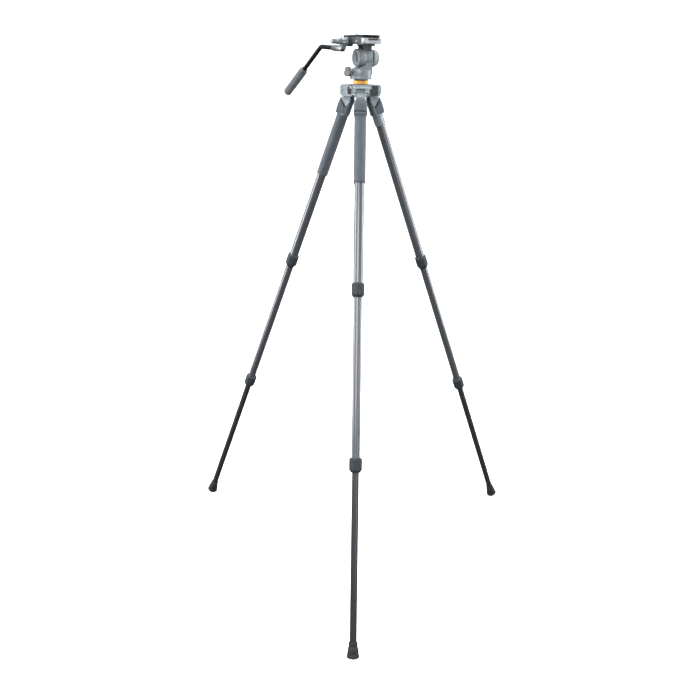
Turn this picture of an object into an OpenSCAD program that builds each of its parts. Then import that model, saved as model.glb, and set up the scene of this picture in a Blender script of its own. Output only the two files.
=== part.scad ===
// Three-section travel tripod with a fluid video head, standing at full leg length.
// Millimetres, +Z up. The origin lies on the floor under the centre column, and the front leg points to -Y.

/* [Stance] */
// Angle of each leg from the vertical, in degrees
leg_spread = 21.7; // [18:0.1:25]
// Height of the leg hinges above the floor
pivot_z = 1420.5; // [1200:0.5:1600]
// Distance of the leg hinges from the column axis
pivot_r = 41.5; // [40:0.5:46]
// Turn of the head on the tripod, in degrees
head_pan = 31.3; // [-180:0.1:180]

/* [Legs] */
// Outside diameter of the upper leg tube
upper_tube_d = 26; // [26:0.1:26.2]
// Outside diameter of the middle leg tube
middle_tube_d = 22.5; // [22.3:0.1:22.5]
// Outside diameter of the lower leg tube
lower_tube_d = 18.9; // [18.5:0.1:18.9]
// Wall of the leg tubes
tube_wall = 1.3; // [1.2:0.05:1.35]
// Distance from the leg hinge to the middle of the upper twist lock
lock1_at = 538; // [500:1:560]
// Distance from the leg hinge to the middle of the lower twist lock
lock2_at = 1010; // [990:1:1040]
// Diameter of the twist locks
lock_d = 35; // [34:0.5:38]
// Length of the twist locks
lock_l = 39; // [36:1:44]
// Where the foam grips end, measured from the leg hinge
grip_end = 246; // [180:1:320]
// Outside diameter of the foam grips
grip_d = 33; // [32.5:0.5:36]

/* [Spider and column] */
// Thickness of the spider, from its underside to its top
spider_h = 32; // [30:0.5:34]
// Outside diameter of the centre column
column_d = 25; // [24:0.5:25]
// Length of the centre column below the spider's top
column_l = 277; // [260:1:300]
// Diameter of the coloured ring under the head
ring_d = 41.6; // [40:0.1:44]

/* [Head] */
// Diameter of the pan base
base_d = 60; // [58:0.5:60]
// Diameter of the tilt drum
drum_d = 46; // [44:0.5:46]
// Height of the tilt axis above the spider's top
tilt_h = 69.5; // [69:0.5:71]
// Width of the camera plate
plate_w = 60; // [58:1:62]
// Length of the camera plate
plate_l = 101; // [90:1:110]

/* [Handle] */
// Diameter of the handle tube
handle_d = 12.5; // [12:0.1:12.5]
// Diameter of the handle grip
handle_grip_d = 25; // [22:0.5:27]
// Length of the handle grip
handle_grip_l = 138; // [120:1:150]
// Downward slope of the handle's outer stretch, in degrees
handle_drop = 31.7; // [25:0.1:36]

/* [Hidden] */
$fn = 96;
LEGS = ["front", "right", "left"];
LEG_PARTS = [
    "casting", "angle_stop", "upper_tube", "upper_lock", "middle_tube",
    "middle_shim", "lower_lock", "lower_tube", "lower_shim", "foot"
];

// Running clearance of shafts in holes
fit = 0.05;

// Leg axis, inboard of the hinge by this much
axis_in = 8.5;
knuckle_r = 9.5;
tongue_w = 23.6;
slot_w = 24.2;
arm_w = 45.4;
lug_r = 11.5;
hinge_bolt_r = 4;
casting_w = 34;
socket_end = 91;
socket_r = 15.4;
body_end = 60;
grip_top = 60.5;
tube_top = 63;
foot_l = 44;
foot_dome_r = 36;
foot_skirt_r = 17;
// The dome's lowest point touches the floor at the set spread
foot_top = (pivot_z - axis_in * sin(leg_spread) - foot_dome_r) / cos(leg_spread) - foot_l + foot_dome_r;
tube_overlap = 50;
upper_r = upper_tube_d / 2;
middle_r = middle_tube_d / 2;
lower_r = lower_tube_d / 2;

// Spider and column
spider_top = pivot_z + 21.5;
spider_bottom = spider_top - spider_h;
arm_end = 53;
hub_r = 19.5;
column_r = column_d / 2;
column_bottom = spider_top - column_l;
platform_z = spider_top + 0.5;
base_z = spider_top + 13;

// Head, in its own frame: X along the tilt axis, lens towards -Y, handle side -X
tilt_z = spider_top + tilt_h;
arm_x0 = 4.1;
arm_x1 = 26;
drum_x0 = -15.5;
drum_x1 = 3.5;
neck_x0 = -2;
neck_x1 = 25.5;
neck_w = 26;
axle_r = 5;
clamp_z = tilt_z + 35;
plate_z = tilt_z + 53.7;
// Quarter inch camera screw, with a thinner neck where it passes through the plate
screw_r = 3.175;
screw_neck_r = 2.7;
boss_x = -36;
boss_y = 20;
boss_z = tilt_z + 40.5;
boss_r = 12.3;
lever_x = -26;
lever_y = -52.6;
lever_h = 13.4;
block_h = 17.8;
dovetail_h = 4.4;
sleeve_x = -46;
sleeve_z = tilt_z + 21;
sleeve_rise = 3;
sleeve_r = 8;
sleeve_y0 = 22;
sleeve_l = 50;
bend_y = 141.5;
bend_z = sleeve_z + bend_y * tan(sleeve_rise);
grip_start = 117;
grip_depth = 80;

// ---------------------------------------------------------------- helpers

// A tube with its lower end at z = 0
module tube(r_out, r_in, h) {
    difference() {
        cylinder(r = r_out, h = h);
        translate([0, 0, -1]) cylinder(r = r_in, h = h + 2);
    }
}

// A cylinder along X from x0 to x1
module rod_x(r, x0, x1) {
    translate([x0, 0, 0]) rotate([0, 90, 0]) cylinder(r = r, h = x1 - x0);
}

// A cylinder along Y from y0 to y1
module rod_y(r, y0, y1) {
    translate([0, y1, 0]) rotate([90, 0, 0]) cylinder(r = r, h = y1 - y0);
}

// A flat outline in the X-Z plane, given thickness along Y and centred on y = 0
module slab_y(width) {
    rotate([90, 0, 0]) linear_extrude(height = width, center = true) children();
}

// A flat outline in the Y-Z plane, given thickness along X from x0 to x1
module slab_x(x0, x1) {
    translate([x0, 0, 0]) rotate([90, 0, 90]) linear_extrude(height = x1 - x0) children();
}

// A rectangle with round corners, made of exact circles
module round_rect(w, h, r) {
    square([w - 2 * r, h], center = true);
    square([w, h - 2 * r], center = true);
    for (x = [-1, 1], y = [-1, 1]) {
        translate([x * (w / 2 - r), y * (h / 2 - r)]) circle(r = r);
    }
}

// Places its children on a leg: origin on the leg axis beside the hinge, +X outward, +Z up the leg
module on_leg(k) {
    rotate([0, 0, 120 * k - 90])
        translate([pivot_r, 0, pivot_z])
        rotate([0, -leg_spread, 0])
        translate([-axis_in, 0, 0])
        children();
}

// Places its children in the head's own frame, at the tilt axis
module on_tilt() {
    rotate([0, 0, head_pan]) translate([0, 0, tilt_z]) children();
}

// Places its children in the head's own frame, at floor height
module on_head() {
    rotate([0, 0, head_pan]) children();
}

// ---------------------------------------------------------------- legs

// Side outline of the pocket in a casting for the angle stop
module stop_pocket() {
    polygon([[13.4, 0], [25, 0], [25, -53.4], [6, -58.6], [-2.2, -57], [-2.2, -39.4], [13.4, -19.8]]);
}

// Side outline of the angle stop lever
module stop_outline() {
    polygon([[14.2, -18.4], [17, -17.4], [18.6, -19], [18.6, -51.6], [8, -55.4], [1.5, -54.5],
             [-0.8, -51], [-0.8, -43.6], [14.2, -24]]);
}

// Front outline of the casting's body, which narrows towards the hinge
module shoulders(margin) {
    half = casting_w / 2 + margin;
    neck = tongue_w / 2 + 0.4 + margin;
    polygon([[-half, -body_end], [half, -body_end], [half, -31], [neck, -15], [-neck, -15], [-half, -31]]);
}

// The rib that carries the angle stop, rounded about the stop's trunnion
module stop_rib(margin) {
    translate([5, -49]) circle(r = 4.6 + margin);
    translate([-3, -53.6 - margin]) square([8, 9.2 + 2 * margin]);
}

module leg_casting(k) {
    color("lightslategray") on_leg(k) {
        difference() {
            union() {
                translate([axis_in, 0, 0]) rod_y(knuckle_r, -tongue_w / 2, tongue_w / 2);
                slab_y(tongue_w) polygon([[-2, 2], [axis_in + knuckle_r, 0], [17, -14], [-14, -14], [-12, -8]]);
                intersection() {
                    translate([0, 0, -body_end]) linear_extrude(height = body_end) intersection() {
                        translate([1.7, 0]) square([33.6, casting_w], center = true);
                        translate([1.5, 0]) circle(r = 20.5);
                    }
                    slab_y(casting_w + 2)
                        polygon([[-18, -16], [-12, -12], [20, -12], [20, -body_end], [-18, -body_end]]);
                    slab_x(-20, 22) shoulders(0);
                }
                rotate_extrude() polygon([
                    [0, -body_end + 1], [socket_r, -body_end + 1], [socket_r, -socket_end + 3],
                    [upper_r + 0.8, -socket_end], [0, -socket_end]
                ]);
            }
            slab_y(casting_w + 4) stop_pocket();
            translate([axis_in, 0, 0]) rod_y(hinge_bolt_r + fit, -tongue_w, tongue_w);
            translate([0, 0, -socket_end - 1]) cylinder(r = upper_r, h = socket_end - tube_top + 1);
        }
        difference() {
            slab_y(10) stop_rib(0);
            translate([5, 0, -49]) rod_y(2 + fit, -10, 10);
        }
    }
}

module leg_angle_stop(k) {
    color("dimgray") on_leg(k) {
        difference() {
            intersection() {
                slab_y(casting_w + 0.6) stop_outline();
                slab_x(-20, 22) shoulders(0.3);
            }
            slab_y(11.4) stop_rib(1.4);
            slab_y(11.4) polygon([[-4, -40], [8, -42], [8, -60], [-4, -60]]);
        }
        translate([5, 0, -49]) rod_y(2, -7, 7);
    }
}

module leg_upper_tube(k) {
    color("slategray") on_leg(k)
        translate([0, 0, -lock1_at - 2])
        tube(upper_r, upper_r - tube_wall, lock1_at + 2 - tube_top);
}

module leg_middle_tube(k) {
    color("slategray") on_leg(k)
        translate([0, 0, -lock2_at - 2])
        tube(middle_r, middle_r - tube_wall - fit, lock2_at + 2 - lock1_at + tube_overlap);
}

module leg_lower_tube(k) {
    color("darkslategray") on_leg(k)
        translate([0, 0, -foot_top - 30])
        tube(lower_r, lower_r - tube_wall, foot_top + 30 - lock2_at + tube_overlap);
}

// A twist lock: a fluted barrel on the end of one tube, with the next tube passing through it
module twist_lock(r_tube, r_next) {
    r = lock_d / 2;
    half = lock_l / 2;
    difference() {
        rotate_extrude() polygon([
            [r_next + 0.3, -half], [r - 4.6, -half], [r - 0.5, -half + 6.5], [r, -half + 8],
            [r, half - 4], [r - 1, half - 2.4], [r - 3, half], [r_next + 0.3, half]
        ]);
        translate([0, 0, -2.6]) cylinder(r = r_tube + fit, h = half + 4);
        for (a = [0 : 45 : 315]) {
            rotate([0, 0, a + 22.5]) translate([r + 3.9, 0, -half - 1]) cylinder(r = 5, h = lock_l + 2);
        }
    }
}

module leg_upper_lock(k) {
    color("darkslategray") on_leg(k) translate([0, 0, -lock1_at]) twist_lock(upper_r, middle_r);
}

module leg_lower_lock(k) {
    color("darkslategray") on_leg(k) translate([0, 0, -lock2_at]) twist_lock(middle_r, lower_r);
}

// Anti-twist shims: thin sleeves on the top of each inner tube, which run in the tube outside it
module leg_middle_shim(k) {
    color("white") on_leg(k)
        translate([0, 0, -lock1_at + tube_overlap - 24])
        tube(upper_r - tube_wall - fit, middle_r, 24);
}

module leg_lower_shim(k) {
    color("white") on_leg(k)
        translate([0, 0, -lock2_at + tube_overlap - 24])
        tube(middle_r - tube_wall - 2 * fit, lower_r, 24);
}

// The rubber boot; its underside is a dome, so that it meets the floor at any leg angle
module leg_foot(k) {
    dome_c = foot_l - foot_dome_r;
    color("black") on_leg(k) translate([0, 0, -foot_top]) {
        difference() {
            intersection() {
                rotate_extrude() polygon([
                    [0, -foot_l - 1], [foot_skirt_r - 3, -foot_l - 1], [foot_skirt_r, -foot_l + 4],
                    [foot_skirt_r, -foot_l + 9], [foot_skirt_r - 2, -foot_l + 15], [14.6, -foot_l + 24],
                    [13.6, -foot_l + 30], [12.2, -foot_l + 32], [12.2, -1.5], [11, 0], [0, 0]
                ]);
                translate([0, 0, -dome_c]) sphere(r = foot_dome_r);
            }
            translate([0, 0, -30]) cylinder(r = lower_r, h = 40);
        }
    }
}

// Foam sleeve over the casting's socket and the upper tube
module leg_grip(k) {
    color("darkslategray") on_leg(k) difference() {
        translate([0, 0, -grip_end]) cylinder(d = grip_d, h = grip_end - grip_top);
        translate([0, 0, -grip_end - 1]) cylinder(r = upper_r, h = grip_end - grip_top + 2);
        translate([0, 0, -socket_end]) cylinder(r = socket_r, h = socket_end);
    }
}

// ---------------------------------------------------------------- spider and column

// Side outline of a spider arm, X outward and Y up, with its outer top corner rounded
module arm_outline() {
    corner = 7;
    arm_root = 12;
    translate([arm_root, spider_bottom]) square([arm_end - corner - arm_root, spider_h]);
    translate([arm_root, pivot_z]) square([arm_end - arm_root, spider_top - corner - pivot_z]);
    translate([arm_end - corner, spider_top - corner]) circle(r = corner);
    translate([pivot_r, pivot_z]) circle(r = lug_r);
}

module spider_arm() {
    difference() {
        slab_y(arm_w) arm_outline();
        // slot for the leg casting's tongue, under the top plate
        translate([hub_r + 0.5, -slot_w / 2, spider_bottom - 5])
            cube([60, slot_w, 5 + spider_h - 11.2]);
        // hinge bolt hole, with a recess for the head on one side and for the nut on the other
        translate([pivot_r, 0, pivot_z]) {
            rod_y(hinge_bolt_r + fit, -arm_w, arm_w);
            rod_y(7, -arm_w / 2 - 1, -arm_w / 2 + 3.4);
            rod_y(7, arm_w / 2 - 3.4, arm_w / 2 + 1);
        }
    }
}

module spider() {
    color("silver") difference() {
        union() {
            translate([0, 0, spider_bottom]) cylinder(r = hub_r, h = spider_h);
            translate([0, 0, spider_top - 11]) cylinder(r = 32, h = 11);
            for (k = [0 : 2]) rotate([0, 0, 120 * k - 90]) spider_arm();
            translate([0, 0, pivot_z + 2]) rod_y(8, 0, 31);
        }
        translate([0, 0, spider_bottom - 1]) cylinder(r = column_r + 0.1, h = spider_h + 2);
        translate([0, 0, pivot_z + 2]) rod_y(3 + fit, 5, 40);
    }
}

module hinge_bolts() {
    color("black") for (k = [0 : 2]) rotate([0, 0, 120 * k - 90]) translate([pivot_r, 0, pivot_z]) {
        rod_y(hinge_bolt_r, -arm_w / 2 + 0.2, arm_w / 2 - 0.2);
        difference() {
            rod_y(6.6, -arm_w / 2 + 0.2, -arm_w / 2 + 3.4);
            rotate([90, 0, 0]) cylinder(r = 3, h = arm_w / 2 + 1, $fn = 6);
        }
        rod_y(6.6, arm_w / 2 - 3.4, arm_w / 2 - 0.6);
    }
}

module platform() {
    color("dimgray") translate([0, 0, platform_z]) difference() {
        rotate_extrude() polygon([
            [0, -18], [column_r - 1.5, -18], [column_r - 1.5, 0], [17, 0], [17, 9.8], [19.4, 10],
            [19.4, 12], [18.8, 12.5], [0, 12.5]
        ]);
        translate([0, 0, -10]) cylinder(r = 4.76, h = 30);
    }
}

module platform_ring() {
    color("goldenrod") translate([0, 0, platform_z]) rotate_extrude() polygon([
        [17, 0.2], [ring_d / 2 - 0.8, 0.2], [ring_d / 2, 1], [ring_d / 2, 8.8], [ring_d / 2 - 0.8, 9.6],
        [17, 9.6]
    ]);
}

// The 3/8 inch stud that the head screws onto
module head_stud() {
    color("silver") translate([0, 0, platform_z - 10]) cylinder(r = 4.76, h = 33);
}

module column_tube() {
    color("slategray") difference() {
        translate([0, 0, column_bottom]) cylinder(r = column_r, h = platform_z - column_bottom);
        translate([0, 0, column_bottom + 8]) cylinder(r = column_r - 1.5, h = column_l);
        translate([0, 0, column_bottom - 1]) cylinder(r = 4 + fit, h = 20);
    }
}

// A lobed clamping knob: its stem runs along +Z from z = 0 and the head starts at z = stem_l
module lobed_knob(stem_r, stem_l, head_r, head_h, lobes) {
    cylinder(r = stem_r, h = stem_l + 1);
    translate([0, 0, stem_l]) difference() {
        cylinder(r = head_r, h = head_h);
        for (i = [0 : lobes - 1]) {
            rotate([0, 0, (i + 0.5) * 360 / lobes])
                translate([head_r * 1.32, 0, -1])
                cylinder(r = head_r * 0.6, h = head_h + 2);
        }
    }
}

module column_lock_knob() {
    color("dimgray") translate([0, 13.6, pivot_z + 2]) rotate([-90, 0, 0])
        lobed_knob(3, 20.5, 11, 14, 3);
}

// Spring-loaded hook that pulls out of the column's lower end, to hang a bag on
module column_hook() {
    color("black") translate([0, 0, column_bottom]) {
        translate([0, 0, -2]) cylinder(r = 4, h = 42);
        translate([0, 0, 38]) cylinder(r = 8, h = 3);
        translate([0, 0, -4]) cylinder(r = 8, h = 3.4);
        translate([0, 0, -12.4]) rotate([90, 0, 0]) rotate_extrude() translate([9, 0]) circle(r = 2);
    }
}

// ---------------------------------------------------------------- head

module pan_base() {
    color("lightslategray") on_head() translate([0, 0, base_z]) difference() {
        union() {
            rotate_extrude() polygon([
                [0, 0], [base_d / 2 - 3, 0], [base_d / 2 - 0.6, 1], [base_d / 2, 2], [base_d / 2, 8],
                [0, 8]
            ]);
            cylinder(r = 12, h = 22);
        }
        translate([0, 0, -1]) cylinder(r = 4.76, h = 13);
    }
}

// Web that slopes up from the lock knob's side to the arm, passing round the tilt drum
module pan_buttress() {
    translate([0, 0, tilt_z]) difference() {
        slab_y(36) polygon([[-23, -30.5], [4.1, -19.5], [12, -17.5], [12, -36], [-23, -36]]);
        rod_x(drum_d / 2 + 0.5, -30, arm_x0);
    }
}

// Turning housing: a low drum, a buttress, and one arm that carries the tilt axle
module pan_housing() {
    r = base_d / 2;
    color("lightslategray") on_head() difference() {
        union() {
            translate([0, 0, base_z + 8.4]) rotate_extrude() polygon([
                [0, 0], [r, 0], [r, 15], [r - 2.5, 17.8], [r - 7, 19], [0, 19]
            ]);
            translate([0, 0, tilt_z]) intersection() {
                slab_x(arm_x0, arm_x1) union() {
                    circle(r = drum_d / 2 - 0.5);
                    translate([-18.4, -42]) square([36.8, 42]);
                }
                translate([0, 0, -60]) cylinder(r = 32, h = 100);
            }
            pan_buttress();
        }
        translate([0, 0, base_z - 1]) cylinder(r = 12 + fit, h = 23.6);
        translate([0, 0, tilt_z]) rod_x(axle_r + fit, -1, 60);
        translate([0, 0, base_z + 19.5]) rod_x(3 + fit, -40, -5);
    }
}

module pan_lock_knob() {
    color("silver") on_head() translate([-12.2, 0, base_z + 19.5]) rotate([0, -90, 0])
        lobed_knob(3, 24, 13, 11, 3);
}

// The axle turns with the drum; the drag knob turns freely on its end
module tilt_axle() {
    color("silver") on_tilt() rod_x(axle_r, -10, 47);
}

// Tilting drum, hollow for the balance spring; the plate clamp's neck stands on it
module tilt_drum() {
    r = drum_d / 2;
    color("lightslategray") on_tilt() difference() {
        rod_x(r, drum_x0, drum_x1);
        rod_x(r - 2, drum_x0 - 1, drum_x0 + 2.5);
        difference() {
            rod_x(15.5, drum_x0 + 1, 0.5);
            rod_x(8, drum_x0 + 1, 0.5);
        }
        rod_x(axle_r, -10, 40);
    }
}

// Point i of the balance spring's wire, which winds about the tilt axis
function spring_turn(i, steps, turns, r, x0, pitch) =
    [x0 + pitch * turns * i / steps, r * cos(360 * turns * i / steps), r * sin(360 * turns * i / steps)];

module balance_spring() {
    turns = 4;
    steps = 14 * turns;
    sides = 6;
    coil_r = 12;
    wire_r = 0.9;
    start = drum_x0 + 4.2;
    pitch = 2.2;
    points = [
        for (i = [0 : steps], s = [0 : sides - 1])
            let (
                c = spring_turn(i, steps, turns, coil_r, start, pitch),
                a = 360 * turns * i / steps,
                b = 360 * s / sides,
                out = coil_r + wire_r * cos(b)
            )
            [c[0] + wire_r * sin(b), out * cos(a), out * sin(a)]
    ];
    faces = concat(
        [[for (s = [0 : sides - 1]) s]],
        [for (i = [0 : steps - 1], s = [0 : sides - 1]) let (n = (s + 1) % sides)
            [i * sides + n, i * sides + s, (i + 1) * sides + s, (i + 1) * sides + n]],
        [[for (s = [sides - 1 : -1 : 0]) steps * sides + s]]
    );
    color("silver") on_tilt() polyhedron(points, faces);
}

module drum_cap() {
    color("dimgray") on_tilt() difference() {
        rod_x(drum_d / 2 - 2, drum_x0 + 0.3, drum_x0 + 2.5);
        rod_x(13, drum_x0 - 1, drum_x0 + 1.2);
        for (a = [0 : 90 : 270]) rotate([a, 0, 0]) translate([0, 16.5, 0]) rod_x(1.4, drum_x0 - 1, drum_x0 + 1.5);
    }
}

module drag_knob() {
    r = 21;
    ridges = 20;
    color("darkgray") on_tilt() difference() {
        rotate([0, 90, 0]) rotate_extrude() polygon([
            [0, 32.4], [r - 1, 32.4], [r, 33.4], [r, 45], [r - 2.2, 48.4], [r - 6, 49.4], [0, 49.4]
        ]);
        rod_x(axle_r + fit, 30, 47.4);
        for (i = [0 : ridges - 1]) {
            rotate([i * 360 / ridges, 0, 0]) translate([0, r + 0.9, 0]) rod_x(1.6, 31, 52);
        }
    }
}

module tilt_lock_lever() {
    color("silver") on_tilt() rotate([-42, 0, 0]) difference() {
        union() {
            rod_x(13, 26.6, 31.8);
            slab_x(27.2, 31.2) polygon([[-7, 0], [7, 0], [4.2, -27], [2.5, -29], [-2.5, -29], [-4.2, -27]]);
        }
        rod_x(axle_r + fit, 20, 40);
    }
}

// ---------------------------------------------------------------- plate and clamp

// The dovetail foot of the camera plate, widened by a margin for the clamp's channel
module dovetail(margin) {
    z1 = plate_z - tilt_z;
    z0 = z1 - dovetail_h;
    polygon([
        [-23 - margin, z0 - margin], [23 + margin, z0 - margin], [19.4 + margin, z1 + margin],
        [-19.4 - margin, z1 + margin]
    ]);
}

// Neck between the tilt drum and the clamp block, reaching over the housing's arm
module clamp_neck(block_z) {
    r = drum_d / 2;
    difference() {
        union() {
            slab_y(neck_w) translate([neck_x0, 12]) square([neck_x1 - neck_x0, block_z - 11]);
            translate([neck_x0 - 2, -16, block_z - 5]) cube([38, 32, 6]);
        }
        rod_x(r, -10, drum_x1);
        rod_x(r + 0.15, drum_x1, 40);
    }
}

module plate_clamp() {
    block_z = clamp_z - tilt_z;
    color("dimgray") on_tilt() difference() {
        union() {
            translate([-29, -46, block_z]) cube([58, 92, block_h]);
            clamp_neck(block_z);
            translate([0, boss_y, boss_z - tilt_z]) rod_x(boss_r, boss_x, -20);
            translate([-33, -59.5, block_z - 2.8]) cube([14, 26, 2.9]);
            translate([lever_x, lever_y, block_z - 1]) cylinder(r = 2.5, h = lever_h + 1.2);
        }
        slab_y(100) dovetail(0.3);
        translate([-23.3, boss_y - 14, plate_z - tilt_z - dovetail_h - 0.3]) cube([12, 28, 20]);
        translate([0, boss_y, boss_z - tilt_z]) rod_x(3.1, boss_x - 1, -25);
        translate([0, -25, block_z + 5.5]) rod_x(3.5 + fit, -32, -23);
    }
}

module camera_plate() {
    slab_z = plate_z - tilt_z;
    color("black") on_tilt() difference() {
        union() {
            slab_y(plate_l - 3) dovetail(0);
            translate([0, 0, slab_z - 0.4]) linear_extrude(height = 3.2) round_rect(plate_w, plate_l, 5);
        }
        // slot for the camera screw, with a wider slot below for its slider
        translate([0, 13, slab_z - 10]) linear_extrude(height = 20) round_rect(6.8, 50, 3.3);
        translate([-8, -14, slab_z - 8]) cube([16, 54, 8.6]);
    }
}

module plate_pad() {
    color("black") on_tilt() translate([0, 0, plate_z - tilt_z + 2.8]) linear_extrude(height = 1) difference() {
        round_rect(plate_w - 3, plate_l - 3, 4);
        translate([0, 13]) round_rect(9, 52, 4.4);
    }
}

// Slider that lets the camera screw travel along the plate's slot
module screw_slider() {
    color("dimgray") on_tilt() translate([0, 26, plate_z - tilt_z - 1.1]) difference() {
        translate([-7.7, -7, 0]) cube([15.4, 14, 1.5]);
        translate([0, 0, -1]) cylinder(r = screw_neck_r + fit, h = 4);
    }
}

module camera_screw() {
    color("silver") on_tilt() translate([0, 26, plate_z - tilt_z]) difference() {
        union() {
            translate([0, 0, -2]) cylinder(r = screw_neck_r, h = 6);
            translate([0, 0, 3.9]) cylinder(r = screw_r, h = 4.4);
            translate([0, 0, -4]) cylinder(r = 6.4, h = 2.7);
        }
        translate([-8, -0.8, -5]) cube([16, 1.6, 2.2]);
    }
}

module clamp_lever() {
    hub_r = 5.8;
    color("silver") on_tilt() translate([0, 0, clamp_z - tilt_z + 0.4]) difference() {
        union() {
            translate([lever_x, lever_y, 0]) cylinder(r = hub_r, h = lever_h);
            linear_extrude(height = lever_h) polygon([
                [lever_x, lever_y - hub_r], [20, -56], [28, -56.5], [33, -55], [33, -52], [29.5, -50.6],
                [24, -50.2], [-18, -49], [lever_x, lever_y + hub_r - 0.4]
            ]);
        }
        translate([lever_x, lever_y, -1]) cylinder(r = 2.5 + fit, h = lever_h + 2);
        translate([-14, -60, lever_h / 2 - 2.6]) cube([38, 2.8, 5.2]);
    }
}

module safety_button() {
    color("silver") on_tilt() translate([0, -25, clamp_z - tilt_z + 5.5]) rod_x(3.5, -31.5, -25.2);
}

// ---------------------------------------------------------------- handle

module handle_bracket() {
    z0 = boss_z - tilt_z;
    z1 = sleeve_z - tilt_z;
    color("silver") on_tilt() difference() {
        union() {
            translate([0, boss_y, z0]) rod_x(10.5, boss_x - 18, boss_x - 0.4);
            translate([0, boss_y, z0]) rod_x(12, boss_x - 3.4, boss_x - 0.4);
            translate([boss_x - 16.5, boss_y - 5, z1]) cube([13, 14, z0 - z1]);
            translate([sleeve_x, 0, z1]) rotate([sleeve_rise, 0, 0])
                rod_y(sleeve_r, sleeve_y0 - 1, sleeve_y0 + sleeve_l);
        }
        translate([sleeve_x, 0, z1]) rotate([sleeve_rise, 0, 0])
            rod_y(handle_d / 2, sleeve_y0 - 3, sleeve_y0 + sleeve_l + 1);
        translate([0, boss_y, z0]) rod_x(3.1, boss_x - 30, boss_x + 10);
    }
}

module handle_knob() {
    color("silver") on_tilt() translate([boss_x + 8, boss_y, boss_z - tilt_z]) rotate([0, -90, 0]) {
        cylinder(r = 3, h = 30);
        translate([0, 0, 26.4]) cylinder(r = 8, h = 13);
        translate([0, 0, 38]) difference() {
            cylinder(r = 6.4, h = 18);
            for (a = [0 : 30 : 330]) rotate([0, 0, a]) translate([7.3, 0, 2]) cylinder(r = 1.4, h = 18);
        }
    }
}

// The tube rises gently through the sleeve, then bends down to the handle's drop
bend_angle = handle_drop + sleeve_rise;
bend_r = 30;
bend_cut = bend_r * tan(bend_angle / 2);

module handle_tube() {
    r = handle_d / 2;
    start = (bend_y - sleeve_y0) / cos(sleeve_rise) + 2.5;
    // The straight stretches run a little way into the elbow, which is a hair thicker
    lap = 1;
    color("black") on_tilt() translate([sleeve_x, bend_y, bend_z - tilt_z]) {
        rotate([sleeve_rise, 0, 0]) rod_y(r, -start, -bend_cut + lap);
        rotate([sleeve_rise, 0, 0]) translate([0, -bend_cut, -bend_r])
            rotate([90, 0, 90]) rotate([0, 0, 90 - bend_angle])
            rotate_extrude(angle = bend_angle) translate([bend_r, 0]) circle(r = r + 0.08);
        rotate([-handle_drop, 0, 0]) rod_y(r, bend_cut - lap, grip_start + grip_depth);
    }
}

module handle_grip() {
    r = handle_grip_d / 2;
    color("dimgray") on_tilt() translate([sleeve_x, bend_y, bend_z - tilt_z])
        rotate([-handle_drop, 0, 0]) translate([0, grip_start, 0]) rotate([-90, 0, 0]) difference() {
            union() {
                rotate_extrude() polygon([
                    [0, 0], [8.4, 0], [9.2, 1], [9.2, 6], [r - 1.4, 8.5], [r, 12],
                    [r, handle_grip_l - r], [0, handle_grip_l - r]
                ]);
                translate([0, 0, handle_grip_l - r]) sphere(r = r);
            }
            translate([0, 0, -1]) cylinder(r = handle_d / 2, h = grip_depth + 1);
        }
}

// ---------------------------------------------------------------- nodes

for (k = [0 : 2]) {
    leg_casting(k);
    leg_angle_stop(k);
    leg_upper_tube(k);
    leg_upper_lock(k);
    leg_middle_tube(k);
    leg_middle_shim(k);
    leg_lower_lock(k);
    leg_lower_tube(k);
    leg_lower_shim(k);
    leg_foot(k);
}
leg_grip(0);  // front_grip
leg_grip(2);  // left_grip
hinge_bolts();
spider();
platform();
platform_ring();
head_stud();
column_tube();
column_lock_knob();
column_hook();
pan_base();
pan_housing();
pan_lock_knob();
tilt_axle();
tilt_drum();
balance_spring();
drum_cap();
drag_knob();
tilt_lock_lever();
plate_clamp();
camera_plate();
plate_pad();
screw_slider();
camera_screw();
clamp_lever();
safety_button();
handle_bracket();
handle_knob();
handle_tube();
handle_grip();
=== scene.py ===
"""Looks of the standing tripod with its fluid head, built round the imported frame. The object's lengths are in
millimetres until they go into a mesh, which is in metres. The studio's lengths are in metres."""

import math

import bmesh
import bpy
from mathutils import Matrix, Vector


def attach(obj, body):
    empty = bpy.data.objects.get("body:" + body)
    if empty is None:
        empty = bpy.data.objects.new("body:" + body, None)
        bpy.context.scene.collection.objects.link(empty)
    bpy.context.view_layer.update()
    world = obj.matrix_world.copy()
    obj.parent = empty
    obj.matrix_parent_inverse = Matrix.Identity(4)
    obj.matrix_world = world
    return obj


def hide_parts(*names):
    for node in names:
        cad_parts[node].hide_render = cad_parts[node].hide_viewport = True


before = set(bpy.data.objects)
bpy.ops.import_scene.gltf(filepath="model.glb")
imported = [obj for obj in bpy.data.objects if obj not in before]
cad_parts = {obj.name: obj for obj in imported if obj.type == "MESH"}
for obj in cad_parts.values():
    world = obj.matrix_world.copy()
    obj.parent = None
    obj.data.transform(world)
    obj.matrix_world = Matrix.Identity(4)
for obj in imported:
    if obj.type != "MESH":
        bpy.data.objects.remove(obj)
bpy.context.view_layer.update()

MM = 0.001
TAU = 2 * math.pi
LEGS = ("front", "right", "left")

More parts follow.
